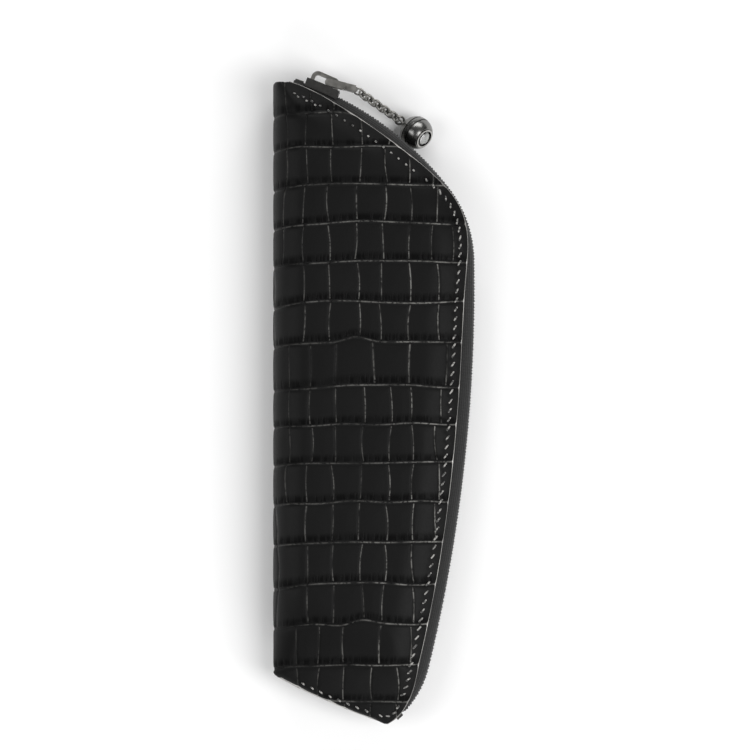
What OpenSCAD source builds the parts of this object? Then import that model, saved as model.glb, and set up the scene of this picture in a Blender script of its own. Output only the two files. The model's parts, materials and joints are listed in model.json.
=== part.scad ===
// Zip-around pen case of embossed leather, lying on its back panel.
// +Z points out of the front panel, +Y to the slanted zip end, +X to the zip side.
// The origin is the middle of the flat of the back panel, on the face the case rests on.

/* [Case] */
// thickness over both panels
case_t = 20; // [20:0.5:24]
// leather thickness
leather_t = 1.4; // [1.2:0.1:1.4]
// how far the leather edge stands inside the zip coil
edge_in = 3.1; // [3.1:0.1:3.3]
// height of the leather rim above the middle plane
rim_h = 6.2; // [6.2:0.1:6.6]
// distance of the spine fold from the origin
spine_x = 26.6; // [26:0.1:27]

/* [Zip path] */
// radius of the slanted end
slant_r = 85; // [85:1:85]
// radius of the outer corner
corner_r = 32.14; // [32.14:0.01:32.14]
// radius of the long side
side_r = 427.6; // [427.6:0.1:427.6]
// radius at the bottom tip
tip_r = 26.25; // [26.25:0.01:26.25]
// radial thickness of the coil
coil_t = 1.4; // [1.2:0.1:1.4]
// woven tape thickness
tape_t = 0.45; // [0.4:0.05:0.45]

/* [Slider] */
// length along the zip
slider_l = 9.2; // [8.4:0.1:9.2]
// width across both tapes
slider_w = 7.8; // [7.4:0.1:7.8]
// travel down the slanted end
travel = 26; // [20:1:26]

/* [Chain] */
// wire thickness of a ring
wire_d = 0.5; // [0.44:0.02:0.5]
// ring diameter to the middle of its wire
ring_d = 2.36; // [2.3:0.01:2.38]

/* [Charm] */
// ball diameter
charm_d = 8.8; // [8.6:0.1:8.8]
// inlay disc diameter
inlay_d = 4.5; // [4.3:0.1:4.6]

/* [Hidden] */
mid = case_t / 2;
gap = 0.3;
// arcs of the zip path: centre, radius, first and last angle
slant_c = [-47.25, 5.37];
slant_a = 37.65;
corner_a = 0.94;
side_a = -13.65;
tip_a = -56;
// where the coils end, short of the tip
coil_end_a = -45;
park_a = 66.76;
end_a = 71.8;
crease_a = park_a - 3.7;
corner_c = slant_c + (slant_r - corner_r) * [cos(slant_a), sin(slant_a)];
side_c = corner_c + (corner_r - side_r) * [cos(corner_a), sin(corner_a)];
tip_c = side_c + (side_r - tip_r) * [cos(side_a), sin(side_a)];
// the sewn bottom edge: a point on it and its direction
seam_p = [-26, -71];
seam_dir = -25.6;
reach = 300;

function arc(c, r, a, b, n) = [for (i = [0 : n]) c + r * [cos(a + (b - a) * i / n), sin(a + (b - a) * i / n)]];
// the zip path moved inward by i, from angle a of the slant to angle b of the tip
function rail(i, a = end_a, b = tip_a) = concat(
    arc(slant_c, slant_r - i, a, slant_a, 16),
    arc(corner_c, corner_r - i, slant_a - 4, corner_a, 8),
    arc(side_c, side_r - i, corner_a - 1.5, side_a, 9),
    arc(tip_c, tip_r - i, side_a - 6, b, 7));
function backwards(v) = [for (i = [len(v) - 1 : -1 : 0]) v[i]];

seam_n = [-sin(seam_dir), cos(seam_dir)];
seam_d = [cos(seam_dir), sin(seam_dir)];
first_a = 78;
last_a = -75;
// point t of the zip path moved in by i: 16 steps of slant, 10 of corner, 14 of side, 8 of tip
function path_point(i, t) =
    let (q = t < 16 ? [slant_c, slant_r, first_a + (slant_a - first_a) * t / 16]
            : t < 26 ? [corner_c, corner_r, slant_a + (corner_a - slant_a) * (t - 16) / 10]
            : t < 40 ? [side_c, side_r, corner_a + (side_a - corner_a) * (t - 26) / 14]
            : [tip_c, tip_r, side_a + (last_a - side_a) * (t - 40) / 8])
    q[0] + (q[1] - i) * [cos(q[2]), sin(q[2])];
// where that path comes down to b above the seam, by halving
function path_end(i, b, lo = 26, hi = 48, n = 24) =
    n == 0 ? lo : let (m = (lo + hi) / 2)
        (path_point(i, m) - seam_p) * seam_n > b ? path_end(i, b, m, hi, n - 1) : path_end(i, b, lo, m, n - 1);
zip_steps = 44;
// one closed loop of a panel, zip side first, then the bottom seam, then the spine;
// i, s and b are the insets of those three sides, zi, zs and zb their heights
function loop(i, s, b, zi, zs, zb) =
    let (x0 = s - spine_x,
        a = acos((x0 - slant_c[0]) / (slant_r - i)),
        t0 = 16 * (first_a - a) / (first_a - slant_a),
        t1 = path_end(i, b),
        zip = [for (k = [0 : zip_steps]) path_point(i, t0 + (t1 - t0) * k / zip_steps)],
        last = zip[zip_steps],
        base = seam_p + b * seam_n,
        foot = base + (x0 - base[0]) / seam_d[0] * seam_d,
        head = zip[0])
    concat([for (p = zip) [p[0], p[1], zi]],
        [for (k = [0 : 7]) let (p = last + (foot - last) * (0.06 + 0.9 * k / 7)) [p[0], p[1], zb]],
        [for (k = [0 : 9]) let (p = foot + (head - foot) * (0.02 + 0.96 * k / 9)) [p[0], p[1], zs]]);

// the region inside the zip path moved in by i, the spine by s and the bottom seam by b
module outline(i, s, b) {
    polygon([for (p = loop(i, s, b, 0, 0, 0)) [p[0], p[1]]]);
}

// a closed skin through a list of loops, with flat ends
module skin(loops) {
    n = len(loops[0]);
    m = len(loops);
    polyhedron(
        points = [for (l = loops) for (p = l) p],
        faces = concat(
            [[for (k = [0 : n - 1]) (k + 20) % n]],
            [for (r = [0 : m - 2]) for (k = [0 : n - 1]) each [
                [r * n + k, (r + 1) * n + k, r * n + (k + 1) % n],
                [(r + 1) * n + k, (r + 1) * n + (k + 1) % n, r * n + (k + 1) % n]]],
            [[for (k = [n - 1 : -1 : 0]) (m - 1) * n + (k + 20) % n]]));
}

// one leather half above the middle plane: over the cushion, round the edge and back inside
shoulder = 1.4;
top_loops = [
    loop(edge_in + 10, 9, 24, mid, mid, mid),
    loop(edge_in + 6.5, 6.4, 20, mid - 0.5, mid - 0.55, mid - 0.5),
    loop(edge_in + 4, 4.5, 16, mid - shoulder, mid - shoulder, mid - shoulder),
    loop(edge_in, 1.2, 9, rim_h, rim_h, rim_h),
    loop(edge_in, 0, 0, rim_h - 0.2, 2.6, 1.4)];
under_loops = [
    loop(edge_in, 0, 0, rim_h - leather_t, 0, 0),
    loop(edge_in + 2.4, leather_t, 3, rim_h - leather_t + 0.3, 0, 0),
    loop(edge_in + 5, leather_t + 1.4, 11, mid - 2 * leather_t, rim_h - 0.8, rim_h - leather_t - 0.4),
    loop(edge_in + 10.5, 9.5, 25, mid - leather_t, mid - leather_t, mid - leather_t)];
module half_leather() {
    skin(concat(top_loops, under_loops));
}
// the same cushion as a solid, to lay threads on
module cushion() {
    skin(concat(top_loops, [under_loops[0]]));
}

// the crease runs from the parked slider to the bottom tip
crease_top = slant_c + slant_r * [cos(crease_a), sin(crease_a)];
crease_end = [6.2, -83.8];
crease_dir = atan2(crease_end[1] - crease_top[1], crease_end[0] - crease_top[0]);
module beyond_crease() {
    translate([crease_top[0], crease_top[1], -50]) rotate([0, 0, crease_dir])
        translate([-reach, gap / 2, 0]) cube([2 * reach, reach, 100]);
}
module before_crease() {
    translate([crease_top[0], crease_top[1], -50]) rotate([0, 0, crease_dir])
        translate([-reach, -reach - gap / 2, 0]) cube([2 * reach, reach, 100]);
}

// a strip that follows the zip path between two insets
module strip(i, j, a = end_a, b = tip_a) {
    polygon(concat(rail(i, a, b), backwards(rail(j, a, b))));
}
module wall(i, j, z, h, a = end_a, b = tip_a) {
    translate([0, 0, z]) linear_extrude(h) strip(i, j, a, b);
}
module in_front() {
    translate([0, 0, mid]) children();
}
module in_back() {
    translate([0, 0, mid]) mirror([0, 0, 1]) children();
}

/* leather */
module cover_leather() {
    color([0.03, 0.03, 0.03]) {
        in_back() half_leather();
        intersection() {
            in_front() half_leather();
            before_crease();
        }
    }
}
module flap_leather() {
    color([0.03, 0.03, 0.03]) intersection() {
        in_front() half_leather();
        beyond_crease();
    }
}

board_t = 0.55;
board_z = mid - leather_t - board_t - 0.03;
lining_t = 0.4;
lining_z = board_z - lining_t - 0.03;
module board() {
    translate([0, 0, board_z]) linear_extrude(board_t) outline(edge_in + 11, 12, 27);
}
module lining() {
    translate([0, 0, lining_z]) linear_extrude(lining_t) outline(edge_in + 9.5, 11, 26);
}
module back_board() {
    color([0.35, 0.25, 0.18]) in_back() board();
}
module flap_board() {
    color([0.35, 0.25, 0.18]) intersection() {
        in_front() board();
        beyond_crease();
    }
}
module back_lining() {
    color([0.06, 0.06, 0.07]) in_back() lining();
}
module spine_lining() {
    color([0.06, 0.06, 0.07]) intersection() {
        in_front() lining();
        before_crease();
    }
}
module flap_lining() {
    color([0.06, 0.06, 0.07]) intersection() {
        in_front() lining();
        beyond_crease();
    }
}

// soft tongue that keeps two pens apart, sewn to the back lining
tongue_l = 96;
tongue_h = 9;
tongue_t = 1.1;
tongue_x = -4.6;
tongue_y = -50;
module pen_tongue() {
    color([0.05, 0.05, 0.05]) translate([tongue_x, tongue_y, mid - lining_z + 0.02]) {
        cube([tongue_t, tongue_l, tongue_h]);
        translate([-2, 0, 0]) cube([2 * 2 + tongue_t, tongue_l, 0.5]);
    }
}

/* zip */
tape_in = coil_t + 0.08;
tape_z = 0.9;
leg_z = rim_h - leather_t - 0.45;
leg_in = edge_in + 2.2;
module half_tape() {
    wall(tape_in, tape_in + tape_t, tape_z, leg_z + 0.4 - tape_z, end_a, tip_a + 3);
    wall(tape_in, leg_in, leg_z, 0.4, end_a - 1.2, tip_a + 16);
}
module tape_back() {
    color([0.10, 0.10, 0.10]) in_back() half_tape();
}
module tape_front_end() {
    color([0.10, 0.10, 0.10]) intersection() {
        in_front() half_tape();
        before_crease();
    }
}
module tape_front() {
    color([0.10, 0.10, 0.10]) intersection() {
        in_front() half_tape();
        beyond_crease();
    }
}

// each coil is drawn as the envelope of its turns; the two part around the slider's post
coil_h = 1.5;
post_h = 0.7;
post_a = park_a + 1;
nose_a = park_a + 3.35;
module closed_coil(a, b) {
    wall(0, coil_t, 0.1, coil_h, a, b);
}
module parted_coil() {
    translate([slant_c[0], slant_c[1], post_h + gap]) rotate([0, 0, post_a]) rotate_extrude(angle = nose_a - post_a)
        translate([slant_r - coil_t, 0]) square([coil_t, coil_h]);
}
module coil_back() {
    color([0.13, 0.13, 0.13]) in_back() {
        closed_coil(post_a - 0.2, coil_end_a);
        parted_coil();
    }
}
module coil_front_end() {
    color([0.13, 0.13, 0.13]) in_front() {
        intersection() {
            closed_coil(post_a - 0.2, coil_end_a);
            before_crease_low();
        }
        parted_coil();
    }
}
module before_crease_low() {
    intersection() {
        before_crease();
        translate([-60, 0, -1]) cube([80, 120, 10]);
    }
}
module coil_front() {
    color([0.13, 0.13, 0.13]) intersection() {
        in_front() closed_coil(post_a - 0.2, coil_end_a);
        beyond_crease();
    }
}

module arc_block(r1, r2, z1, z2, a1, a2) {
    translate([slant_c[0], slant_c[1], z1]) rotate([0, 0, a1]) rotate_extrude(angle = a2 - a1, $fn = 360)
        translate([r1, 0]) square([r2 - r1, z2 - z1]);
}
module stop_block() {
    arc_block(slant_r - coil_t - 0.05, slant_r - 0.05, 0.9, 2.6, nose_a + 0.15, end_a - 0.05);
}
module top_stop_front() {
    color([0.28, 0.28, 0.29]) in_front() stop_block();
}
module top_stop_back() {
    color([0.28, 0.28, 0.29]) in_back() stop_block();
}
module bottom_stop() {
    color([0.28, 0.28, 0.29]) translate([0, 0, mid - 1.9]) linear_extrude(3.8)
        polygon(concat(arc(tip_c, tip_r + 0.1, coil_end_a - 0.4, coil_end_a - 4.4, 4),
            arc(tip_c, tip_r - coil_t, coil_end_a - 4.4, coil_end_a - 0.4, 4)));
}

/* stitches */
stitch_l = 1.7;
stitch_w = 0.45;
stitch_pitch = 2.45;
stitch_in = edge_in + 1.9;
thread_up = 0.3;
// stitches stand at even steps along one arc of the path
module stitch_arc(c, r, a, b, slant) {
    step = stitch_pitch / r * 180 / PI;
    for (t = [a : -step : b])
        translate(c + r * [cos(t), sin(t)]) rotate(t - 90 + slant) square([stitch_l, stitch_w], center = true);
}
module stitch_path() {
    stitch_arc(slant_c, slant_r - stitch_in, 64.5, slant_a + 0.6, 0);
    stitch_arc(corner_c, corner_r - stitch_in, slant_a - 1.6, corner_a + 2, 20);
    stitch_arc(side_c, side_r - stitch_in, corner_a - 0.1, side_a + 0.2, 30);
}
// threads lie on the leather: the cushion raised by the thread, less the cushion
module threads_on_rim() {
    difference() {
        intersection() {
            translate([0, 0, rim_h]) linear_extrude(3) stitch_path();
            translate([0, 0, thread_up]) cushion();
        }
        translate([0, 0, 0.03]) cushion();
    }
}
module stitch_front() {
    color([0.16, 0.16, 0.16]) intersection() {
        in_front() threads_on_rim();
        beyond_crease();
    }
}
module stitch_back() {
    color([0.16, 0.16, 0.16]) in_back() threads_on_rim();
}
// the panel rises from the bottom seam at this angle, and the seam's stitches lie on that slope
seam_rise = atan2(rim_h - 1.4, 9);
seam_stitches = 10;
module stitch_seam() {
    color([0.16, 0.16, 0.16]) in_front() translate([seam_p[0], seam_p[1], 1.4]) rotate([0, 0, seam_dir])
        rotate([seam_rise, 0, 0]) for (k = [0 : seam_stitches - 1])
            translate([4.4 + k * stitch_pitch, 2.2, 0.1]) rotate([0, 0, 24])
                translate([-stitch_l / 2, -stitch_w / 2, 0]) cube([stitch_l, stitch_w, thread_up]);
}

/* slider */
half_a = slider_l / 2 / slant_r * 180 / PI;
plate_in = slant_r + gap;
plate_out = plate_in + 0.9;
under_out = slant_r - coil_t - 0.08 - tape_t - 0.25;
under_in = under_out - 0.7;
lip_in = slant_r - coil_t + 0.3;
module slider_body() {
    color([0.25, 0.25, 0.26]) {
        arc_block(plate_in, plate_out, mid - slider_w / 2, mid + slider_w / 2, park_a - half_a, park_a + half_a);
        arc_block(under_in, under_out, mid - slider_w / 2, mid + slider_w / 2, park_a - half_a, park_a + half_a);
        arc_block(under_out - 0.1, plate_in + 0.1, mid - post_h, mid + post_h, park_a + 1.4, park_a + half_a);
        for (s = [0, 1]) translate([0, 0, mid]) mirror([0, 0, s])
            arc_block(lip_in, plate_in + 0.1, 3.0, slider_w / 2, park_a - half_a, park_a + half_a);
    }
}

// local frame of the slider: x along the zip towards the long side, y outward
module at_slider() {
    translate([slant_c[0], slant_c[1], mid]) rotate([0, 0, park_a - 90]) translate([0, plate_out, 0]) children();
}
arch_l = 7.8;
arch_h = 2.8;
arch_t = 1.0;
arch_w = 2.2;
module round_top(l, h, r) {
    intersection() {
        union() {
            translate([-l / 2 + r, -0.3]) square([l - 2 * r, h + 0.3]);
            translate([-l / 2, -0.3]) square([l, h - r + 0.3]);
            translate([-l / 2 + r, h - r]) circle(r, $fn = 48);
            translate([l / 2 - r, h - r]) circle(r, $fn = 48);
        }
        translate([-l, -0.3]) square([2 * l, h + 1]);
    }
}
module slider_bridge() {
    color([0.25, 0.25, 0.26]) at_slider() translate([0, 0, -arch_w / 2]) linear_extrude(arch_w) difference() {
        translate([0, 0.35]) round_top(arch_l, arch_h - 0.35, 1.7);
        translate([0, 0.02]) round_top(arch_l - 2 * arch_t, arch_h - arch_t, 0.8);
    }
}

/* pull: a cross bar under the bridge, two arms, a flat bar and a ring at its end */
bar_at = [0.9, 1.08];
pull_turn = park_a - 90;
pull_tilt = -14.3 - pull_turn;
pull_l = 7.3;
arm_w = 1.9;
arm_in = arch_w / 2 + 0.15;
arm_t = 0.75;
fork_l = 3.9;
// the chain starts at the pull's end and falls to the charm's ring on the table
bar_xy = slant_c + plate_out * [cos(park_a), sin(park_a)]
    + bar_at[0] * [cos(pull_turn), sin(pull_turn)] + bar_at[1] * [-sin(pull_turn), cos(pull_turn)];
eye_xy = bar_xy + pull_l * [cos(-14.3), sin(-14.3)];
charm_yaw = -39;
charm_tilt = 34;
charm_at = [11.3, 72.3, charm_d / 2];
neck_l = charm_d / 2 + 0.8;
charm_dir = [cos(charm_tilt) * cos(charm_yaw), cos(charm_tilt) * sin(charm_yaw), sin(charm_tilt)];
chain_a = [eye_xy[0], eye_xy[1], mid];
chain_b = charm_at - neck_l * charm_dir;
chain_v = chain_b - chain_a;
chain_len = norm(chain_v);
chain_yaw = atan2(chain_v[1], chain_v[0]);
chain_dip = asin(-chain_v[2] / chain_len);
links = 10;
first_ring = ring_d / 2 + 0.05;
pitch = (chain_len - first_ring) / (links + 1);
module at_bar() {
    at_slider() translate([bar_at[0], bar_at[1], 0]) rotate([0, 0, pull_tilt]) children();
}
module ring_shape() {
    rotate_extrude($fn = 64) translate([ring_d / 2, 0]) circle(d = wire_d, $fn = 24);
}
// ring k of the chain leans 45 degrees to one side or the other, and the charm's ring stands
// in the charm's own plane
side_v = [-sin(chain_yaw), cos(chain_yaw), 0];
eye_roll = atan2(charm_dir * cross(chain_v / chain_len, side_v), charm_dir * side_v);
function roll(k) = k > links ? eye_roll : k == links ? 22 : k % 2 == 0 ? 45 : -45;
module chain_ring(k) {
    translate(chain_a) rotate([0, 0, chain_yaw]) rotate([0, chain_dip, 0])
        translate([first_ring + k * pitch, 0, 0]) rotate([roll(k), 0, 0]) ring_shape();
}
module pull_link() {
    color([0.25, 0.25, 0.26]) {
        at_bar() {
            cylinder(d = 1.1, h = 2 * arm_in + 0.4, center = true, $fn = 32);
            for (s = [-1, 1]) translate([0, 0, s * (arm_in + arm_t / 2)]) {
                cylinder(d = arm_w, h = arm_t, center = true, $fn = 32);
                translate([0, -arm_w / 2, -arm_t / 2]) cube([fork_l + 0.6, arm_w, arm_t]);
            }
            translate([fork_l, -arm_w / 2, -arm_in - arm_t / 2]) cube([pull_l - fork_l, arm_w, 2 * arm_in + arm_t]);
            translate([pull_l, 0, 0]) cylinder(d = 1.3, h = 2 * arm_in, center = true, $fn = 32);
        }
        chain_ring(0);
    }
}

/* charm, drawn about its own axis and then laid down */
module at_charm() {
    translate(charm_at) rotate([0, 0, charm_yaw]) rotate([0, 90 - charm_tilt, 0]) children();
}
ball_r = charm_d / 2;
face_z = 3.25;
seat_r = inlay_d / 2 + 0.45;
groove_d = 0.3;
stud_r = 0.6;
// the ring sinks a little way into a round seat at the ball's pole
eye_seat_r = 1.3;
eye_seat_h = 0.7;
module charm_body() {
    color([0.2, 0.2, 0.21]) at_charm() difference() {
        sphere(ball_r, $fn = 96);
        translate([-10, -10, face_z]) cube([20, 20, 10]);
        translate([0, 0, face_z - 1.3]) cylinder(r = seat_r, h = 3, $fn = 64);
        translate([0, 0, -ball_r - 1]) cylinder(r = stud_r + 0.04, h = 4, $fn = 32);
        translate([0, 0, -ball_r - 1]) cylinder(r = eye_seat_r, h = 1 + eye_seat_h, $fn = 48);
        for (z = [-1.1, 0.5]) translate([0, 0, z]) difference() {
            cylinder(r = ball_r + 1, h = 0.35, $fn = 96);
            translate([0, 0, -1]) cylinder(r = sqrt(ball_r * ball_r - z * z) - groove_d, h = 3, $fn = 96);
        }
    }
}
module charm_bezel() {
    color([0.6, 0.6, 0.6]) at_charm() translate([0, 0, face_z - 1.25]) difference() {
        cylinder(r = seat_r - 0.04, h = 1.5, $fn = 64);
        translate([0, 0, 0.3]) cylinder(r = inlay_d / 2 + 0.03, h = 3, $fn = 64);
    }
}
module charm_inlay() {
    color([0.85, 0.84, 0.8]) at_charm() translate([0, 0, face_z - 0.93])
        cylinder(d = inlay_d, h = 0.7, $fn = 64);
}
dome_rise = 0.75;
dome_r = (inlay_d * inlay_d / 4 + dome_rise * dome_rise) / (2 * dome_rise);
module charm_dome() {
    color([0.9, 0.9, 0.9, 0.3]) at_charm() translate([0, 0, face_z - 0.21]) intersection() {
        translate([0, 0, dome_rise - dome_r]) sphere(dome_r, $fn = 96);
        cylinder(d = inlay_d + 1, h = 2, $fn = 64);
    }
}
module charm_eye() {
    color([0.25, 0.25, 0.26]) {
        chain_ring(links + 1);
        at_charm() translate([0, 0, -neck_l + ring_d / 2])
            cylinder(r = stud_r, h = neck_l - ring_d / 2 - ball_r + 2.6, $fn = 32);
    }
}

module link(k) {
    color([0.25, 0.25, 0.26]) chain_ring(k);
}

cover_leather();
flap_leather();
back_board();
flap_board();
back_lining();
spine_lining();
flap_lining();
pen_tongue();
tape_back();
tape_front_end();
tape_front();
coil_back();
coil_front_end();
coil_front();
top_stop_front();
top_stop_back();
bottom_stop();
stitch_front();
stitch_back();
stitch_seam();
slider_body();
slider_bridge();
pull_link();
link(1);  // link_01
link(2);  // link_02
link(3);  // link_03
link(4);  // link_04
link(5);  // link_05
link(6);  // link_06
link(7);  // link_07
link(8);  // link_08
link(9);  // link_09
link(10);  // link_10
charm_body();
charm_bezel();
charm_inlay();
charm_dome();
charm_eye();
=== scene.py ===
# Fountain pen case lying on its back: two panels of black croc-embossed leather folded from one piece at the
# spine, sewn across the bottom, with a coil zip round the slanted end and the long side. The zip's pull carries
# a fine ring chain and a ball charm; inside are a cloth lining and a suede tongue that keeps two pens apart.
import json

import bpy
import numpy as np
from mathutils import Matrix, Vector


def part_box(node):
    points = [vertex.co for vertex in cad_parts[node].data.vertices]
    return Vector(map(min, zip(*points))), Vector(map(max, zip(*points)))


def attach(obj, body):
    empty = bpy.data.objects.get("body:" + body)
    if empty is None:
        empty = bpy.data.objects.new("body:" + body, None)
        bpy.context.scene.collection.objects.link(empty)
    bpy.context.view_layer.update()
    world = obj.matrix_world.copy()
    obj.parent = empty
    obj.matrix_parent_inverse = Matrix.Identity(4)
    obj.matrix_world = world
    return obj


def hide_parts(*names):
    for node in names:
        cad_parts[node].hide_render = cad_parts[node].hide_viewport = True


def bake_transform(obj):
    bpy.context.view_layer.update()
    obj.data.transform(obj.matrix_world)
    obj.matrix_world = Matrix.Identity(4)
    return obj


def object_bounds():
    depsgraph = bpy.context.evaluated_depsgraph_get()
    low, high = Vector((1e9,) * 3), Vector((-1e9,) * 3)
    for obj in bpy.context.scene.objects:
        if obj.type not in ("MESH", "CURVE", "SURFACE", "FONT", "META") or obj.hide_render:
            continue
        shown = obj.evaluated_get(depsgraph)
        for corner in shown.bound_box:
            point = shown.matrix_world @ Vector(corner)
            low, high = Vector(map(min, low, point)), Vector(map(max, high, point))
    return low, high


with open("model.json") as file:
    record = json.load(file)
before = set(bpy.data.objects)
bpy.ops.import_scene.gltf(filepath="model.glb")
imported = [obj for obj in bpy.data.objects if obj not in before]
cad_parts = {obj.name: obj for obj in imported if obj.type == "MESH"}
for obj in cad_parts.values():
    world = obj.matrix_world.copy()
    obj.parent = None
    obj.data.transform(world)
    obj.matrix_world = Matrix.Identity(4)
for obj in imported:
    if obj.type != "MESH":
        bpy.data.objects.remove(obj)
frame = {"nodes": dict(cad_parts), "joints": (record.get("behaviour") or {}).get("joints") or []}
cad_low, cad_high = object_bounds()
joint = {j["name"]: j for j in frame["joints"]}

# ---------------------------------------------------------------- stage: camera, floor and studio light
# A pale matt floor under a camera that looks straight down; one large soft light at the lower right, three fills.


def paint(code):
    """An sRGB hex colour as linear RGBA: the power curve above 0.04045, the straight piece below it."""
    c = np.array([int(code[i : i + 2], 16) / 255 for i in (1, 3, 5)])
    c = np.where(c > 0.04045, ((c + 0.055) / 1.055) ** 2.4, c / 12.92)
    return (*c, 1.0)


def material(name, **surface):
    """A new material; surface gives its Principled shader's values, spaces written as underscores."""
    m = bpy.data.materials.new(name)
    m.use_nodes = True
    for key, value in surface.items():
        m.node_tree.nodes["Principled BSDF"].inputs[key.replace("_", " ")].default_value = value
    return m


def add(m, kind, inputs=(), out=0, **settings):
    """Adds one shader node with its settings, wires or fills its inputs, and returns one of its outputs."""
    n = m.node_tree.nodes.new("ShaderNode" + kind)
    for key, value in settings.items():
        setattr(n, key, value)
    for key, value in inputs.items() if isinstance(inputs, dict) else enumerate(inputs):
        if isinstance(value, bpy.types.NodeSocket):
            m.node_tree.links.new(value, n.inputs[key])
        else:
            n.inputs[key].default_value = value
    return n.outputs[out]


def sums(m, operation, a, b=0.0, clamp=False):
    return add(m, "Math", (a, b), operation=operation, use_clamp=clamp)


def step(m, value, low, high):
    """0 below low and 1 above high, smooth between; low above high turns it round."""
    return add(m, "MapRange", (value, low, high), interpolation_type="SMOOTHSTEP")


def mixed(m, share, a, b):
    return add(m, "Mix", {0: share, 6: a, 7: b}, out=2, data_type="RGBA")


def wire(m, **sockets):
    """Wires outputs into the Principled shader's inputs."""
    for key, value in sockets.items():
        m.node_tree.links.new(value, m.node_tree.nodes["Principled BSDF"].inputs[key.replace("_", " ")])


def bumped(m, height, distance, strength=1.0):
    """Bump of that height, 0 to 1, over that many metres."""
    wire(m, Normal=add(m, "Bump", {"Strength": strength, "Distance": distance, "Height": height}))


def here(m, scale):
    """Object coordinates times scale, so that one unit is 1/scale metres."""
    place = add(m, "TexCoord", out=3)
    return add(m, "VectorMath", (place, scale), operation="MULTIPLY")


def mesh(name, points, faces, materials, indices=None, smooth=True):
    """A mesh object from points in millimetres and faces that are given outward."""
    data = bpy.data.meshes.new(name)
    data.from_pydata((np.asarray(points) * 0.001).tolist(), [], [list(map(int, f)) for f in faces])
    for m in materials:
        data.materials.append(m)
    if indices is not None:
        data.polygons.foreach_set("material_index", np.asarray(indices, np.int32))
    data.polygons.foreach_set("use_smooth", np.full(len(data.polygons), smooth))
    data.update()
    o = bpy.data.objects.new(name, data)
    bpy.context.scene.collection.objects.link(o)
    return o


def light(name, place, aim, size, power):
    lamp = bpy.data.lights.new(name, "AREA")
    lamp.shape, lamp.size, lamp.size_y, lamp.energy = "RECTANGLE", size[0], size[1], power
    o = bpy.data.objects.new(name, lamp)
    o.location = place
    o.rotation_mode = "QUATERNION"
    o.rotation_quaternion = (Vector(aim) - Vector(place)).to_track_quat("-Z", "Y")
    bpy.context.scene.collection.objects.link(o)


scene = bpy.context.scene
scene.view_settings.view_transform = "Standard"
scene.world = bpy.data.worlds.new("studio")
scene.world.use_nodes = True
scene.world.node_tree.nodes["Background"].inputs["Color"].default_value = paint("#ffffff")
scene.world.node_tree.nodes["Background"].inputs["Strength"].default_value = 0.13

cam = bpy.data.objects.new("camera", bpy.data.cameras.new("camera"))
cam_height = 1.0
cam.data.lens = cam.data.sensor_width * cam_height / 0.19875
cam.location = (0.0003, 0.0077, 0.010 + cam_height)
scene.collection.objects.link(cam)
scene.camera = cam

light("key_right", (0.48, -0.14, 0.62), (0, 0, 0), (0.4, 0.8), 4.8)
light("fill_left", (-0.62, 0.0, 0.50), (0, 0, 0), (0.4, 0.9), 3.0)
light("fill_foot", (0.1, -0.70, 0.45), (0, 0, 0), (0.8, 0.4), 2.9)
light("fill_head", (0.1, 0.75, 0.45), (0, 0, 0), (0.8, 0.4), 3.6)

paper = material("paper_floor", Base_Color=paint("#f4f4f4"), Roughness=1.0, Specular_IOR_Level=0.0)
floor_half = 900
floor_corners = [(-floor_half, -floor_half, 0), (floor_half, -floor_half, 0),
                 (floor_half, floor_half, 0), (-floor_half, floor_half, 0)]
floor = mesh("floor", floor_corners, [(0, 1, 2, 3)], [paper])
floor.location.z = cad_low.z - 0.0002

# ---------------------------------------------------------------- outline of the case, in millimetres
# The zip's outer edge is four arcs end to end; the leather's edge stands inside it by an uneven margin.
MID = joint["pull_swing"]["pos_m"][2] * 1000
SPINE = cad_low.x * 1000
rng = np.random.default_rng(7)

arcs = []
centre = np.array(joint["slider_travel"]["pos_m"][:2]) * 1000
for radius, first, last in ((85.0, 78.0, 37.65), (32.14, 37.65, 0.94), (427.6, 0.94, -13.65), (26.25, -13.65, -75.0)):
    if arcs:
        turn = np.radians(first)
        centre = centre + (arcs[-1][1] - radius) * np.array([np.cos(turn), np.sin(turn)])
    arcs.append((centre, radius, first, last))


def zip_path(s):
    """Point and outward direction at length s along the zip's outer edge, from the arc that s falls on."""
    s = np.asarray(s, float)
    angle, out, at, start = np.zeros(s.shape), np.zeros(s.shape + (2,)), np.zeros(s.shape + (2,)), 0.0
    for c, radius, first, last in arcs:
        on = (s >= start) | (start == 0)
        angle[on] = np.radians(first) - (s[on] - start) / radius
        out[on] = np.stack([np.cos(angle[on]), np.sin(angle[on])], -1)
        at[on] = c + radius * out[on]
        start += radius * np.radians(first - last)
    return at, out


def under_zip(x, y):
    """Distance inside the zip's outer edge and the length along it, from the nearest point of each arc."""
    depth, along, start = np.full(np.shape(x), 1e9), np.zeros(np.shape(x)), 0.0
    for c, radius, first, last in arcs:
        t = np.clip(np.degrees(np.arctan2(y - c[1], x - c[0])), last, first + (7 if start == 0 else 0))
        d = np.hypot(x - c[0] - radius * np.cos(np.radians(t)), y - c[1] - radius * np.sin(np.radians(t)))
        near = d < depth
        depth = np.where(near, d, depth)
        along = np.where(near, start + radius * np.radians(first - t), along)
        start += radius * np.radians(first - last)
    return depth, along


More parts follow.
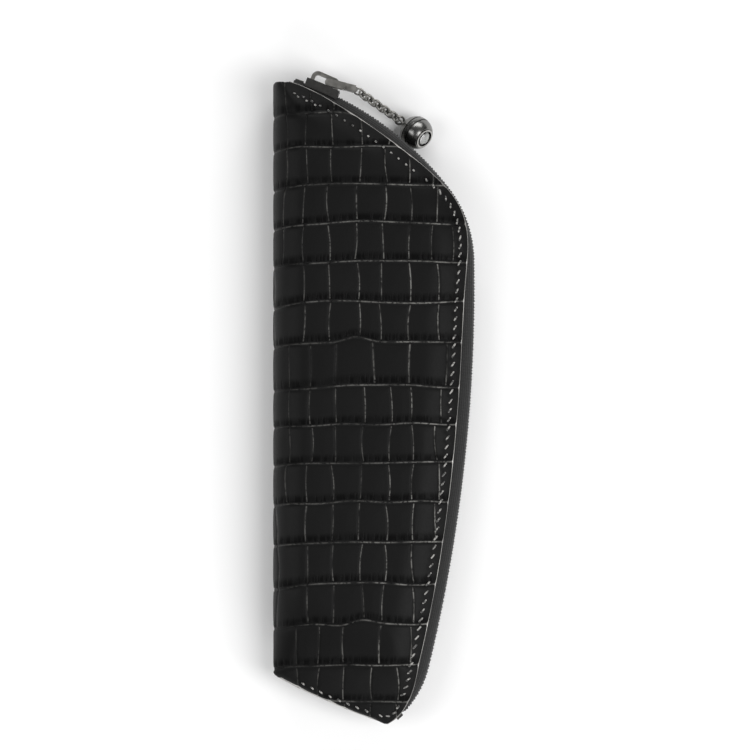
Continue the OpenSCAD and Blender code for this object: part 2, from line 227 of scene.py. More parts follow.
# margin of the leather's edge inside the zip's edge, at lengths along the zip: it all but closes at the outer
# corner and at the bottom tip
margin_knots = ((-10, 1.7), (0, 1.7), (12, 1.6), (24, 2.6), (35, 2.9), (45, 2.5), (54, 1.5), (61, 0.8), (66, 0.7),
                (71, 1.0), (77, 1.9), (90, 3.1), (102, 3.5), (126, 3.6), (160, 3.3), (191, 3.2), (197, 2.1),
                (200, 1.5), (203, 1.0), (206, 0.4), (210, 0.9), (217, 2.0))
margin_s = np.arange(-10, 217, 0.25)
margin_smooth = np.interp(margin_s, *np.array(margin_knots, float).T)
for _ in range(2):
    margin_smooth = np.convolve(np.pad(margin_smooth, 10, "edge"), np.ones(21) / 21, "valid")


def margin(s):
    return np.interp(s, margin_s, margin_smooth)


seam_angle = np.radians(-23.7)
seam_along = np.array([np.cos(seam_angle), np.sin(seam_angle)])
seam_up = np.array([-np.sin(seam_angle), np.cos(seam_angle)])
seam_foot = np.array([-26.0, -72.0])


def seam_bow(t):
    """How far the bottom seam bows outward at length t along it: half a sine wave 0.7 mm high."""
    return 0.7 * np.sin(np.pi * np.clip(t / 31, 0, 1))


def rise(x, y):
    """Height of a panel over the middle plane: 10 mm less a drop within 10 mm of the zip and one within 24 mm
    of the bottom seam, the two joined as a rounded sum."""
    depth, s = under_zip(x, y)
    zip_drop = 3.8 * (1 - np.clip((depth - margin(s)) / 10, 0, 1)) ** 2.2
    over = (x - seam_foot[0]) * seam_up[0] + (y - seam_foot[1]) * seam_up[1]
    over = over + seam_bow((x - seam_foot[0]) * seam_along[0] + (y - seam_foot[1]) * seam_along[1])
    seam_drop = 8.6 * (1 - np.clip(over / 24, 0, 1)) ** 1.9
    return np.maximum(10 - (zip_drop**2.5 + seam_drop**2.5) ** 0.4, 1.05)


edge_s = np.linspace(-4, 214, 3000)
edge_at, edge_out = zip_path(edge_s)
edge_at = edge_at - margin(edge_s)[:, None] * edge_out


def edge_right(y, inset=0.0):
    """Where the leather's zip side lies at level y, rounded at the bottom tip by an ellipse."""
    p = edge_at - inset * edge_out
    t = np.clip((-81.3 - y) / 3.55, 0, 1)
    return np.minimum(np.interp(y, p[::-1, 1], p[::-1, 0]), np.where(t > 0, 3.0 + 4.9 * np.sqrt(1 - t * t), 99.0))


def edge_left(y):
    """Where the spine lies at level y, rounded at the top corner, and the bottom seam below the spine."""
    q = np.clip((y - 84.1) / 1.0, 0, 0.999)
    spine = SPINE + 1.0 * (1 - np.sqrt(1 - q * q))
    drop = seam_foot[1] - y
    seam = seam_foot[0] + drop / np.tan(-seam_angle) - seam_bow(drop / np.sin(-seam_angle)) / np.sin(-seam_angle)
    return np.where(abs(seam - spine) < 1.6, np.maximum(seam, spine) + (1.6 - abs(seam - spine)) ** 2 / 6.4,
                    np.maximum(seam, spine))


# ---------------------------------------------------------------- embossing plate of the croc pattern
# Rows of scales: each row is the level of its upper cross groove, in mm, then where its upright cuts stand.
scale_rows = (
    (90.0, (-23.0, -16.4, -10.3, -3.0)), (76.8, (-23.0, -17.8, -10.9, -3.2, 4.0)),
    (67.9, (-23.0, -17.5, -11.1, -3.4, 3.4, 9.2, 15.5)), (57.8, (-23.6, -18.4, -11.9, -4.4, 2.9, 9.7, 16.7)),
    (47.7, (-24.0, -18.4, -11.8, -4.8, 2.4, 9.5, 15.4, 20.7)), (37.5, (-18.4, -11.7, -4.2, 2.0, 9.4, 16.8)),
    (26.9, (-18.3, -11.4, -3.7, 1.6, 9.4, 17.2)), (16.3, (-22.3, -16.7, -10.1, 0.0, 9.4, 19.1)),
    (4.8, (-22.3, -16.7, -9.9, -2.4, 4.6, 9.7, 17.8)), (-5.2, (-22.2, -16.3, -10.1, -2.7, 4.4, 10.1, 16.4)),
    (-15.3, (-23.0, -17.5, -11.0, -3.4, 3.9, 10.3, 17.2)), (-25.6, (-17.7, -10.9, -3.9, 3.2, 10.4, 16.2)),
    (-36.2, (-17.3, -10.6, -3.2, 2.9, 10.3)), (-47.1, (-17.3, -10.6, -2.8, 2.4, 10.3)),
    (-57.9, (-20.4, -14.6, -8.0, 1.7)), (-68.7, (-20.1, -14.5, -8.0, -0.5, 6.1)), (-78.6, (-8.0, -0.5, 6.0)),
    (-92.0, (0.0,)),
)
groove_level = np.array([row[0] for row in scale_rows])
wave = rng.uniform(-1, 1, (len(scale_rows), 4))
# two rows have a scale that is domed upward: row number, middle, height and half width of the dome
domes = ((7, -4.6, 1.5, 4.0), (14, -3.2, 1.7, 4.2))


def grooves(x, y, shift=0.0):
    """Croc pattern at x, y: running number of the row, running number of the scale in it, and the distances
    to the nearest cross groove and the nearest upright cut. A cross groove is level with two slow waves on it
    and sinks by 1.6 mm at the fold; an upright cut leans and bows a little."""
    k = np.arange(len(scale_rows))[:, None]
    a = wave[:, :, None]
    flat_x, flat_y = x.ravel(), y.ravel()
    level = (groove_level[:, None] + 0.4 * a[:, 0] * np.sin(flat_x / 6.5 + 3 * a[:, 1])
             + 0.3 * a[:, 2] * np.sin(flat_x / 2.9 + 3 * a[:, 3]) - 1.6 * np.exp(-(flat_x - SPINE) / 5.5))
    for number, middle_x, tall, half in domes:
        level[number] += tall * np.exp(-(((flat_x - middle_x) / half) ** 2))
    row = np.clip((level > flat_y).sum(0) - 1, 0, len(scale_rows) - 2)
    i = np.arange(flat_x.size)
    top, foot = level[row, i], level[row + 1, i]
    part = np.clip((top - flat_y) / (top - foot), 0, 1)
    cross = np.minimum(top - flat_y, flat_y - foot)
    number, side = np.zeros(flat_x.size), np.full(flat_x.size, 9.0)
    for j in range(len(scale_rows) - 1):
        on = row == j
        at = np.array(scale_rows[j][1]) + shift
        at = np.concatenate([[at[0] - 8.2], at, at[-1] + 8.0 * np.arange(1, 5)])
        sway = np.random.default_rng(40 + j).uniform(-1, 1, (2, len(at), 1))
        lines = at[:, None] + 0.7 * sway[0] * (part[on] - 0.5) + 0.5 * sway[1] * np.sin(np.pi * part[on])
        gap = flat_x[on] - lines
        left = np.clip((gap > 0).sum(0) - 1, 0, len(at) - 2)
        q = np.arange(on.sum())
        number[on] = left + gap[left, q] / (lines[left + 1, q] - lines[left, q])
        side[on] = abs(gap).min(0)
    return [v.reshape(x.shape) for v in (row + part, number, cross, side)]


# ---------------------------------------------------------------- leather panels
# Calf leather printed with a croc plate, semi-gloss black, 1.4 mm thick and thinned at its edges; the cut edges
# are rounded and painted. The front and back panels are one piece folded at the spine.
leather = material("embossed_calf_semi_gloss", Roughness=0.5, IOR=1.5)
row_no = add(leather, "Attribute", out=2, attribute_name="rows")
cut_no = add(leather, "Attribute", out=2, attribute_name="cuts")
part = sums(leather, "FRACT", row_no)
from_cross = sums(leather, "MULTIPLY", sums(leather, "PINGPONG", row_no, 0.5), 10.4)
from_cut = sums(leather, "MULTIPLY", sums(leather, "PINGPONG", cut_no, 0.5), 7.4)
# painted highlight: a thin light line along each groove, broken up and stronger towards the lit zip side
patch = add(leather, "TexNoise", {"Vector": here(leather, (260, 260, 260)), "Scale": 1.0, "Detail": 3.0})
long_patch = add(leather, "TexNoise", {"Vector": here(leather, (55, 55, 55)), "Scale": 1.0, "Detail": 2.0})
cross_line = step(leather, from_cross, 0.26, 0.08)
cut_line = sums(leather, "MULTIPLY", step(leather, from_cut, 0.24, 0.07), step(leather, from_cross, 0.45, 0.75))
line = sums(leather, "MAXIMUM", cross_line, cut_line)
speck = add(leather, "TexNoise", {"Vector": here(leather, (1300, 1300, 1300)), "Scale": 1.0, "Detail": 2.0})
line = sums(leather, "MULTIPLY", line, step(leather, speck, 0.28, 0.56))
across = add(leather, "SeparateXYZ", (add(leather, "TexCoord", out=3),), out=0)
lit_side_share = add(leather, "MapRange", (across, -0.026, 0.012, 0.22, 1.0))
painted_glint_share = sums(leather, "MULTIPLY", sums(leather, "MULTIPLY", line, step(leather, patch, 0.30, 0.62)), lit_side_share)
painted_glint_share = sums(leather, "MULTIPLY", painted_glint_share, step(leather, long_patch, 0.25, 0.6))
# pleats pressed into the lower part of each scale; that band is painted darker as shade, most in the hollows between
# the pleats
pleat = add(leather, "TexNoise", {"Vector": here(leather, (1050, 110, 300)), "Scale": 1.0, "Detail": 1.0})
pleat = step(leather, pleat, 0.42, 0.58)
pleat_zone = sums(leather, "MULTIPLY", step(leather, part, 0.72, 0.88), step(leather, from_cross, 0.25, 0.6))
pleat_zone = sums(leather, "MULTIPLY", pleat_zone, step(leather, long_patch, 0.24, 0.42))
grain = add(leather, "TexNoise", {"Vector": here(leather, (3200, 3200, 3200)), "Scale": 1.0, "Detail": 3.0})
tone = mixed(leather, long_patch, paint("#090909"), paint("#101010"))
# painted shade: the pleated band darkened towards near black
shade = sums(leather, "MULTIPLY", pleat_zone, sums(leather, "SUBTRACT", 0.8, sums(leather, "MULTIPLY", pleat, 0.35)))
tone = mixed(leather, shade, tone, paint("#040404"))
# painted highlight: the groove lines mixed in as light grey
tone = mixed(leather, painted_glint_share, tone, paint("#747370"))
wire(leather, Base_Color=tone, Roughness=add(leather, "MapRange", (grain, 0.3, 0.7, 0.44, 0.56)),
     Specular_IOR_Level=add(leather, "MapRange", (shade, 0.0, 1.0, 0.11, 0.03)))
height = sums(leather, "MULTIPLY", grain, 0.05)
height = sums(leather, "ADD", height, sums(leather, "MULTIPLY", sums(leather, "MULTIPLY", pleat, pleat_zone), 0.35))
height = sums(leather, "SUBTRACT", height, sums(leather, "MULTIPLY", step(leather, from_cross, 0.42, 0.0), 0.6))
height = sums(leather, "SUBTRACT", height, sums(leather, "MULTIPLY", step(leather, from_cut, 0.36, 0.0), 0.5))
bumped(leather, height, 0.0003, 0.8)

# acrylic edge paint, two coats over the cut edge, glossy grey-black; its light grey colour is a painted highlight
# where light catches the rounded edge, in patches
edge_paint = material("edge_paint_gloss_painted_highlight", Roughness=0.28, IOR=1.5)
edge_glint_patches = add(edge_paint, "TexNoise", {"Vector": here(edge_paint, (90, 90, 90)), "Scale": 1.0, "Detail": 2.0})
wire(edge_paint, Base_Color=mixed(edge_paint, step(edge_paint, edge_glint_patches, 0.35, 0.65), paint("#757371"), paint("#b3b1ad")))

stitch_pitch = 2.45
slant_pitch = 2.65
stitch_margin = 1.9
first_stitch = 10.4


def stitch_row():
    """Middle, direction and length of each stitch: along the slant, round the corner and down the long side,
    then round the tip and along the bottom seam. Stitches on the slant are short and lie along the edge, the
    others lean; three back stitches lie between the first ones and lock the thread."""
    slant = np.arange(first_stitch, 52.5, slant_pitch)
    s = np.concatenate([slant[:3] + 1.3, slant, np.arange(54.5, 201.5, stitch_pitch)])
    at, out = zip_path(s)
    aside = np.interp(s, [50, 60], [0.7, 0.1]) + np.where(np.arange(len(s)) < 3, 0.5, 0.0)
    at = at - (margin(s) + stitch_margin + aside)[:, None] * out
    lean = np.radians(np.interp(s, [50, 62], [-4, -32]))
    length = np.interp(s, [50, 60], [0.7, 1.7])
    way = np.arctan2(out[:, 1], out[:, 0]) + np.pi / 2 + lean
    round_tip = np.radians([-17, -47, -77, -107])
    tip = np.array([2.9, -78.9]) + 3.6 * np.stack([np.cos(round_tip), np.sin(round_tip)], 1)
    seam_stitches = 8
    t = 7.5 + 2.6 * np.arange(seam_stitches)
    seam = seam_foot + t[:, None] * seam_along + (1.7 - seam_bow(t))[:, None] * seam_up
    at = np.concatenate([at, tip, seam])
    way = np.concatenate([way, round_tip + np.pi / 2 - 0.4, np.full(seam_stitches, seam_angle - 0.35)])
    length = np.concatenate([length, np.full(len(tip) + seam_stitches, 1.3)])
    return at, way, length


stitch_at, stitch_way, stitch_length = stitch_row()
hole_step = 0.5 * stitch_length[:, None] * np.stack([np.cos(stitch_way), np.sin(stitch_way)], 1)
holes = np.concatenate([stitch_at + hole_step, stitch_at - hole_step])


def relief(x, y, cross, side):
    """Depth of the embossing: rounded grooves 0.3 and 0.15 mm deep round slightly domed scales, a slope down
    to each cross groove, and a dimple at each needle hole."""
    depth = -np.maximum(0.30 * np.exp(-((cross / 0.42) ** 2)), 0.15 * np.exp(-((side / 0.3) ** 2)))
    depth = depth + 0.10 * (1 - np.exp(-((np.minimum(cross, side) / 2.2) ** 2)))
    near = np.full(x.shape, 9.0)
    for h in holes:
        near = np.minimum(near, np.hypot(x - h[0], y - h[1]))
    return depth - 0.16 * np.exp(-((near / 0.45) ** 2))


def panel_base(y, columns, fold_steps, inset=0.0):
    """Smooth panel on levels y: a quarter ellipse round the fold, then even steps to the zip side. Returns
    points and unit normals for the front, z counted from the middle plane."""
    y = np.asarray(y, float)[:, None]
    left, right = edge_left(y), edge_right(y, inset)
    width = np.minimum(1.0 + 0.8 * rise(left + 5, y), 0.4 * (right - left))
    turn = np.linspace(0, np.pi / 2, fold_steps, endpoint=False)
    x = np.concatenate([left + width * (1 - np.cos(turn)),
                        left + width + (right - left - width) * np.linspace(0, 1, columns)], 1)
    y = np.broadcast_to(y, x.shape)
    lift = rise(x, y) * np.concatenate([np.sin(turn), np.ones(columns)])
    p = np.stack([x, y, lift], -1)
    n = np.cross(np.gradient(p, axis=1), -np.gradient(p, axis=0))
    n /= np.linalg.norm(n, axis=-1, keepdims=True)
    n[:, 0] = (-1, 0, 0)
    return p, n


def swept(name, rings, materials, indices=None, flip=False):
    """A closed tube through equal rings of points, its two ends closed."""
    rows, round_ = rings.shape[:2]
    i, j = np.meshgrid(np.arange(rows - 1), np.arange(round_), indexing="ij")
    a, b = i * round_ + j, i * round_ + (j + 1) % round_
    faces = np.stack([a, a + round_, b + round_, b], -1).reshape(-1, 4)
    if flip:
        faces = faces[:, ::-1]
    ends = [list(range(round_)), list(range(rows * round_ - 1, (rows - 1) * round_ - 1, -1))]
    if flip:
        ends = [e[::-1] for e in ends]
    index = np.zeros(len(faces), int) if indices is None else np.asarray(indices).ravel()
    return mesh(name, rings.reshape(-1, 3), [*faces.tolist(), *ends], materials, [*index, index[0], index[-1]])


def leather_panel(name, side, rows, columns, shift):
    """One leather panel, side +1 for the front and -1 for the back: embossed face, painted edge and flesh side
    in one closed skin."""
    y = np.linspace(84.9, -84.6, rows)
    fold = 16
    p, n = panel_base(y, columns, fold)
    row_number, cut_number, cross, cut = grooves(p[..., 0], p[..., 1], shift=shift)
    face = p + relief(p[..., 0], p[..., 1], cross, cut)[..., None] * n
    thick = np.minimum(1.4, 0.86 * rise(p[..., 0], p[..., 1]))[..., None]
    depth, s = under_zip(p[:, -1, 0], p[:, -1, 1])
    out = np.concatenate([zip_path(s)[1], np.zeros((rows, 1))], 1)
    bead = [p[:, -1] + out * o - n[:, -1] * thick[:, -1] * d
            for o, d in ((0.16, 0.03), (0.30, 0.16), (0.36, 0.45), (0.32, 0.8), (0.15, 0.97))]
    back = [p[:, k] - n[:, k] * thick[:, k] for k in np.linspace(fold + columns - 1, 0, 22).astype(int)]
    rings = np.concatenate([face, np.stack(bead, 1), np.stack(back, 1)], 1)
    rings[..., 2] = np.maximum(rings[..., 2], 0.02)
    rings[..., 2] = MID + side * rings[..., 2]
    round_ = rings.shape[1]
    index = np.zeros((rows - 1, round_), int)
    # the rounded edge and the bottom fold take the edge paint with its painted highlight
    index[:, fold + columns - 1 : fold + columns + 5] = 1
    index[y[1:] < -72.5, : fold // 2] = 1
    o = swept(name, rings, [leather, edge_paint], index, flip=side < 0)
    for title, values in (("rows", row_number), ("cuts", cut_number)):
        full = np.full(rings.shape[:2], 0.5)
        full[:, : fold + columns] = values
        o.data.attributes.new(title, "FLOAT", "POINT").data.foreach_set("value", full.ravel().astype(np.float32))
    return o


def folds(o):
    """Bakes a front piece's placement into its mesh."""
    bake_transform(o)


front = leather_panel("leather_front", 1, 430, 134, 0.0)
folds(front)
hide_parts("flap_leather")
back = leather_panel("leather_back", -1, 300, 96, 2.7)
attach(back, "case")
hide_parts("cover_leather")

# ---------------------------------------------------------------- stitches
# Waxed polyester thread, each stitch a short rounded bar that dips into its two holes.
thread = material("waxed_thread", Roughness=0.45, IOR=1.5, Sheen_Weight=0.3)
thread_glint_patches = add(thread, "TexNoise", {"Vector": here(thread, (1400, 1400, 1400)), "Scale": 1.0, "Detail": 1.0})
# painted highlight: the black thread mixed with light grey in random patches
wire(thread, Base_Color=mixed(thread, step(thread, thread_glint_patches, 0.38, 0.64), paint("#262625"), paint("#9b9995")))


def stitches(name, keep, side):
    """Bars through the stitch row: a tube along a flat arch over each stitch, 8 rings of 6 points."""
    at, way, length = stitch_at[keep], stitch_way[keep], stitch_length[keep]
    t = np.linspace(-1, 1, 8)
    turn = np.linspace(0, 2 * np.pi, 6, endpoint=False)
    along = np.stack([np.cos(way), np.sin(way)], 1)
    mid = at[:, None] + 0.5 * length[:, None, None] * t[:, None] * along[:, None]
    lift = rise(mid[..., 0], mid[..., 1]) - 0.02 - 0.34 * t**6
    wide = 0.25 * (1 - 0.35 * t**4)
    cross = np.stack([-along[:, 1], along[:, 0]], 1)
    ring = np.cos(turn)[:, None] * np.ones(2)
    xy = mid[:, :, None] + (wide[:, None, None] * ring)[None] * cross[:, None, None]
    z = lift[:, :, None] + (wide[:, None] * np.sin(turn) * 0.85)[None]
    p = np.concatenate([xy, (MID + side * z)[..., None]], -1)
    k = np.arange(len(at))[:, None, None] * 48
    i, j = np.meshgrid(np.arange(7), np.arange(6), indexing="ij")
    a, b = k + i * 6 + j, k + i * 6 + (j + 1) % 6
    faces = np.stack([a, b, b + 6, a + 6], -1).reshape(-1, 4)
    ends = [[*range(c + 5, c - 1, -1)] for c in k.ravel()] + [[*range(c + 42, c + 48)] for c in k.ravel()]
    if side < 0:
        faces, ends = faces[:, ::-1], [e[::-1] for e in ends]
    o = mesh(name, p.reshape(-1, 3), [*faces.tolist(), *ends], [thread])
    return o


everywhere = np.arange(len(stitch_at))
front_stitches = stitches("stitches_front", everywhere, 1)
folds(front_stitches)
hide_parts("stitch_front", "stitch_seam")
back_stitches = stitches("stitches_back", everywhere, -1)
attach(back_stitches, "case")
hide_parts("stitch_back")

# ---------------------------------------------------------------- zip
# Woven polyester tape sewn under each leather edge, and a nylon coil of 1.6 mm pitch on its outer edge.
tape = material("woven_tape", Roughness=0.85, IOR=1.5, Sheen_Weight=0.05)
run = add(tape, "Attribute", out=2, attribute_name="run")
web = add(tape, "Attribute", out=2, attribute_name="web")
ribs = sums(tape, "PINGPONG", web, 0.26)
knots = sums(tape, "PINGPONG", run, 0.4)
weave = sums(tape, "ADD", sums(tape, "MULTIPLY", ribs, 1.9), sums(tape, "MULTIPLY", knots, 1.2), clamp=True)
fuzz = add(tape, "TexNoise", {"Vector": here(tape, (2600, 2600, 2600)), "Scale": 1.0, "Detail": 2.0})
weave_mix = sums(tape, "MULTIPLY", weave, fuzz)
wire(tape, Base_Color=mixed(tape, weave_mix, paint("#0b0b0b"), paint("#2a2a2a")))
bumped(tape, weave, 0.0002, 0.7)

nylon = material("nylon_coil_satin", Roughness=0.42, IOR=1.53)
haze = add(nylon, "TexNoise", {"Vector": here(nylon, (900, 900, 900)), "Scale": 1.0, "Detail": 2.0})
wire(nylon, Base_Color=mixed(nylon, haze, paint("#1d1d1d"), paint("#343434")))

zip_first, zip_last = 12.0, 206.0


def tucked(s):
    """How far the zip draws in under the leather over its last 3.5 mm, by a smooth step."""
    t = np.clip((s - zip_last + 3.5) / 3.5, 0, 1)
    return 0.8 * t * t * (3 - 2 * t)


def tape_strip(name, side):
    """A band along the zip: it leaves from under the leather's edge and bends outward and down to the coil, a
    quadratic curve between the two, 0.4 mm thick."""
    s = np.linspace(zip_first - 3, zip_last, 420)
    at, out = zip_path(s)
    rim = at - margin(s)[:, None] * out
    high = rise(rim[:, 0], rim[:, 1]) - 1.5
    low = np.minimum(1.62, high - 0.1)
    inner, outer = margin(s) + 2.2, 0.42 + tucked(s)
    t = np.linspace(0, 1, 12)[None]
    a, b = inner[:, None], outer[:, None]
    knee = (0.45 * margin(s) + 0.5)[:, None]
    inset = a * (1 - t) ** 2 + 2 * knee * t * (1 - t) + b * t * t
    z = high[:, None] * (1 - t * t) + low[:, None] * t * t
    top = np.stack([at[:, None, 0] - inset * out[:, None, 0], at[:, None, 1] - inset * out[:, None, 1], z], -1)
    under = top.copy()
    under[..., :2] -= 0.35 * out[:, None]
    under[..., 2] -= 0.25
    rings = np.concatenate([top, under[:, ::-1]], 1)
    rings[..., 2] = MID + side * np.maximum(rings[..., 2], 0.05)
    o = swept(name, rings, [tape], flip=side < 0)
    length = np.repeat(s[:, None], rings.shape[1], 1)
    width = np.concatenate([np.broadcast_to(inset, top.shape[:2])] * 2, 1)
    for title, values in (("run", length), ("web", width)):
        o.data.attributes.new(title, "FLOAT", "POINT").data.foreach_set("value", values.ravel().astype(np.float32))
    return o


front_tape = tape_strip("tape_front", 1)
folds(front_tape)
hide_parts("tape_front", "tape_front_end")
back_tape = tape_strip("tape_back", -1)
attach(back_tape, "case")
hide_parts("tape_back")

coil_pitch = 1.6


def coil(name, side, offset):
    """Turns of the coil: flattened loops that stand across the zip, each a ring swept round an ellipse, their
    outer ends on the zip's edge and every second place taken by the other row."""
    s = np.arange(zip_first + 2.6 + offset, zip_last - 2.6, coil_pitch)
    at, out = zip_path(s)
    along = np.stack([-out[:, 1], out[:, 0]], 1)
    loop = np.linspace(0, 2 * np.pi, 12, endpoint=False)
    turn = np.linspace(0, 2 * np.pi, 5, endpoint=False)
    wire_r, reach, half = 0.36, 1.05, 0.42
    deep = reach * (1 - np.cos(loop)) + wire_r
    tall = 0.80 + half * np.sin(loop)
    grow = wire_r * np.cos(turn)
    inset = deep[:, None] - grow * np.cos(loop)[:, None] + tucked(s)[:, None, None]
    z = tall[:, None] + grow * np.sin(loop)[:, None]
    slip = wire_r * np.sin(turn) + 0.35 * np.sin(loop)[:, None]
    p = (at[:, None, None] - inset[..., None] * out[:, None, None]
         + slip[None, ..., None] * along[:, None, None])
    p = np.concatenate([p, np.broadcast_to(MID + side * z, p.shape[:3])[..., None]], -1)
    k = np.arange(len(s))[:, None, None] * 60
    i, j = np.meshgrid(np.arange(12), np.arange(5), indexing="ij")
    a, b = k + i * 5 + j, k + i * 5 + (j + 1) % 5
    c, d = k + (i + 1) % 12 * 5 + (j + 1) % 5, k + (i + 1) % 12 * 5 + j
    faces = np.stack([a, b, c, d], -1).reshape(-1, 4)
    o = mesh(name, p.reshape(-1, 3), faces.tolist() if side > 0 else faces[:, ::-1].tolist(), [nylon])
    return o


front_coil = coil("coil_front", 1, 0.0)
folds(front_coil)
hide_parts("coil_front", "coil_front_end")
back_coil = coil("coil_back", -1, coil_pitch / 2)
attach(back_coil, "case")
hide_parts("coil_back")

# ---------------------------------------------------------------- slider, pull, chain and stops
# Zinc castings and steel wire, gunmetal plated and polished; the castings' edges are rounded.
gunmetal = material("gunmetal_plate_polished", Metallic=1.0, Roughness=0.34)
tarnish = add(gunmetal, "TexNoise", {"Vector": here(gunmetal, (700, 700, 700)), "Scale": 1.0, "Detail": 3.0})
wire(gunmetal, Base_Color=mixed(gunmetal, tarnish, paint("#7c7b77"), paint("#9d9b97")),
     Roughness=add(gunmetal, "MapRange", (tarnish, 0.3, 0.7, 0.26, 0.42)))


def refinish(node, m, round_edge=0.0):
    """Gives a CAD node its finish, and rounds its sharp edges by that many millimetres."""
    o = frame["nodes"][node]
    o.data.materials.clear()
    o.data.materials.append(m)
    if round_edge:
        bevel = o.modifiers.new("rounded", "BEVEL")
        bevel.width, bevel.segments, bevel.limit_method, bevel.angle_limit = round_edge * 0.001, 3, "ANGLE", 0.7
        bevel.use_clamp_overlap = True
    return o


# painted shade: the slider body and the stops take a darker copy of the plated metal for the shade they lie in
shadow_metal = material("plate_satin_painted_shade", Metallic=1.0, Roughness=0.4)
wear = add(shadow_metal, "TexNoise", {"Vector": here(shadow_metal, (800, 800, 800)), "Scale": 1.0, "Detail": 2.0})
wire(shadow_metal, Base_Color=mixed(shadow_metal, wear, paint("#383837"), paint("#525150")))
refinish("slider_body", shadow_metal, 0.4)
for name in ("slider_bridge", "pull_link"):
    refinish(name, gunmetal, 0.18)
for name in ("top_stop_front", "top_stop_back", "bottom_stop"):
    refinish(name, shadow_metal, 0.12)
for name in sorted(n for n in frame["nodes"] if n.startswith("link_")):
    ring = refinish(name, gunmetal).modifiers.new("plating", "DISPLACE")
    ring.strength, ring.mid_level = 0.00004, 0.0
refinish("charm_eye", gunmetal)

# ---------------------------------------------------------------- charm
# A turned ball, dark plated and polished, with two grooves; its face carries a bright bezel, a black ring, a pale
# mother-of-pearl cabochon and a clear dome.
dark_polish = material("dark_plate_polished", Metallic=1.0, Roughness=0.26)
smear = add(dark_polish, "TexNoise", {"Vector": here(dark_polish, (350, 350, 350)), "Scale": 1.0, "Detail": 2.0})
wire(dark_polish, Base_Color=mixed(dark_polish, smear, paint("#6c6c6b"), paint("#8b8a88")))
bright = material("bright_plate_mirror", Metallic=1.0, Roughness=0.1, Base_Color=paint("#b9b8b5"))
scratch = add(bright, "TexNoise", {"Vector": here(bright, (1500, 1500, 200)), "Scale": 1.0, "Detail": 2.0})
wire(bright, Roughness=add(bright, "MapRange", (scratch, 0.3, 0.7, 0.07, 0.18)))
refinish("charm_body", dark_polish)
refinish("charm_bezel", bright, 0.08)


def middle(node):
    low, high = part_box(node)
    return (np.array(low) + np.array(high)) / 2


inlay = material("mother_of_pearl_polished", Roughness=0.15, IOR=1.53, Coat_Weight=0.6, Coat_Roughness=0.05)
face_way = middle("charm_inlay") - middle("charm_body")
face_way /= np.linalg.norm(face_way)
offset = add(inlay, "VectorMath", (add(inlay, "TexCoord", out=3), tuple(middle("charm_inlay"))), operation="SUBTRACT")
off_axis = add(inlay, "VectorMath", (offset, tuple(face_way)), operation="CROSS_PRODUCT")
from_axis = add(inlay, "VectorMath", (off_axis,), out=1, operation="LENGTH")
clouds = add(inlay, "TexNoise",
             {"Vector": here(inlay, (900, 900, 900)), "Scale": 1.0, "Detail": 3.0, "Distortion": 1.5})
shell = mixed(inlay, clouds, paint("#cfd4d6"), paint("#fbf8f2"))
wire(inlay, Base_Color=mixed(inlay, step(inlay, from_axis, 0.00158, 0.00168), shell, paint("#060606")))
refinish("charm_inlay", inlay)

clear = material("clear_resin_dome", Roughness=0.02, IOR=1.5, Transmission_Weight=1.0)
ripple = add(clear, "TexNoise", {"Vector": here(clear, (500, 500, 500)), "Scale": 1.0})
wire(clear, Roughness=add(clear, "MapRange", (ripple, 0.3, 0.7, 0.01, 0.04)))
refinish("charm_dome", clear)

# ---------------------------------------------------------------- lining, boards and pen tongue
# Black twill glued over stiffening boards inside both panels, and a suede tongue sewn to the back lining.
cloth = material("lining_twill", Roughness=0.85, IOR=1.5, Sheen_Weight=0.35)
place = here(cloth, (1000, 1000, 1000))
xy = add(cloth, "SeparateXYZ", (place,), out=0)
yy = xy.node.outputs[1]
twill = sums(cloth, "PINGPONG", sums(cloth, "ADD", xy, yy), 0.35)
lint = add(cloth, "TexNoise", {"Vector": place, "Scale": 2.2, "Detail": 2.0})
wire(cloth, Base_Color=mixed(cloth, sums(cloth, "MULTIPLY", twill, lint), paint("#17171a"), paint("#4a4a50")))
bumped(cloth, twill, 0.00015, 0.6)


def lining(name, side):
    """Cloth on the inside of one panel: the panel's own shape moved in past the leather and the board, with its
    edge tucked under the zip tape."""
    y = np.linspace(79.0, -76.0, 130)
    p, n = panel_base(y, 60, 8, 3.4)
    slack = 0.12 * np.sin(p[..., 0] / 4.1 + 0.7 * np.sin(p[..., 1] / 9)) * np.sin(p[..., 1] / 13)
    deep = np.minimum(2.1 + slack, 0.95 * rise(p[..., 0], p[..., 1]))[..., None]
    outer, inner = p - n * deep, p - n * (deep + 0.35)
    rings = np.concatenate([outer, inner[:, ::-1]], 1)
    rings[..., 2] = MID + side * np.maximum(rings[..., 2], 0.06)
    o = swept(name, rings, [cloth], flip=side < 0)
    return o


front_lining = lining("lining_front", 1)
folds(front_lining)
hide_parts("flap_lining", "spine_lining")
back_lining = lining("lining_back", -1)
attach(back_lining, "case")
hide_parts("back_lining")

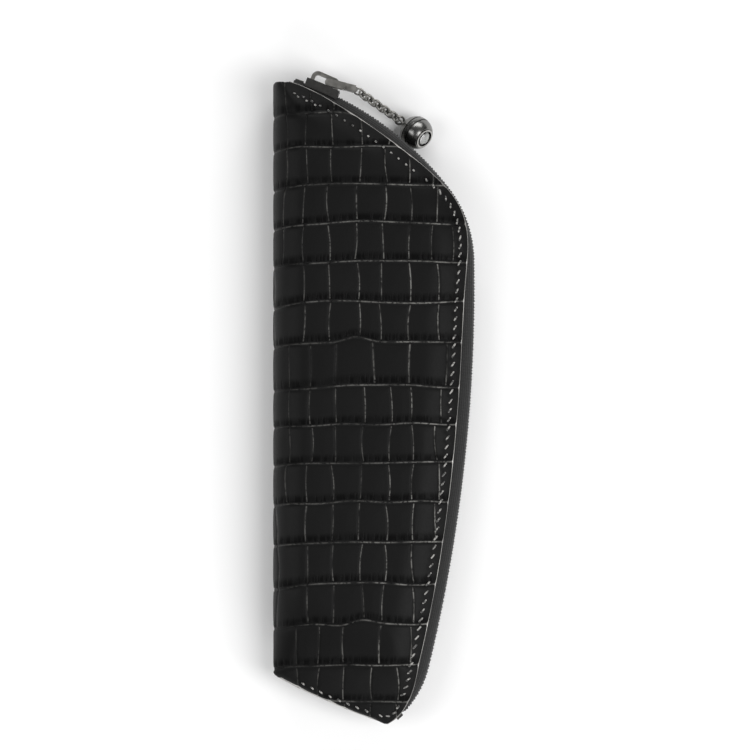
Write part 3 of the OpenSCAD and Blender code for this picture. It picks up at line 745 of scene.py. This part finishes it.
card = material("grey_fibre_board", Roughness=0.9, IOR=1.5)
pulp = add(card, "TexNoise", {"Vector": here(card, (1200, 1200, 1200)), "Scale": 1.0, "Detail": 3.0})
wire(card, Base_Color=mixed(card, pulp, paint("#55483b"), paint("#7c6c5a")))


def board(name, side):
    """A 0.5 mm board under the leather's flat middle: the panel's own shape moved in past the leather."""
    p, n = panel_base(np.linspace(66.0, -56.0, 60), 30, 2, 10.8)
    p, n = p[:, 2:], n[:, 2:]
    rings = np.concatenate([p - 1.46 * n, p[:, ::-1] - 1.96 * n[:, ::-1]], 1)
    rings[..., 2] = MID + side * rings[..., 2]
    o = swept(name, rings, [card], flip=side < 0)
    return o


front_board = board("board_front", 1)
folds(front_board)
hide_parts("flap_board")
back_board = board("board_back", -1)
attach(back_board, "case")
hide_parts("back_board")

suede = material("suede_napped", Roughness=0.95, IOR=1.5, Sheen_Weight=0.6)
nap = add(suede, "TexNoise", {"Vector": here(suede, (1700, 700, 1700)), "Scale": 1.0, "Detail": 3.0})
wire(suede, Base_Color=mixed(suede, nap, paint("#1b1b1d"), paint("#3b3b40")))
bumped(suede, nap, 0.0002, 0.6)


def pen_tongue():
    """A soft upright strip: its section is a rounded blade on a wide foot, and the blade sways as it goes."""
    low, high = (np.array(v) * 1000 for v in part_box("pen_tongue"))
    y = np.linspace(low[1], high[1], 120)
    centre_x, foot, top = (low[0] + high[0]) / 2, low[2] + 0.05, high[2] - 0.05
    half = [(-2.5, 0), (-2.4, 0.35), (-1.1, 0.5), (-0.62, 1.0), (-0.55, 4.0), (-0.55, 7.0), (-0.5, 8.3), (-0.28, 8.8)]
    shape = np.array(half + [(-a, b) for a, b in half[::-1]])
    ends = np.clip(np.minimum(y - low[1], high[1] - y) / 5, 0, 1)
    tall = (0.75 + 0.25 * np.sqrt(1 - (1 - ends) ** 2))[:, None]
    sway = 0.45 * np.sin(y / 11)[:, None] * (shape[:, 1] / 9) ** 1.5
    rings = np.stack([centre_x + shape[:, 0] + sway, np.broadcast_to(y[:, None], sway.shape),
                      foot + shape[:, 1] * tall * (top - foot) / 8.8], -1)
    o = swept("pen_tongue_suede", rings, [suede])
    return o


tongue = pen_tongue()
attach(tongue, "case")
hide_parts("pen_tongue")
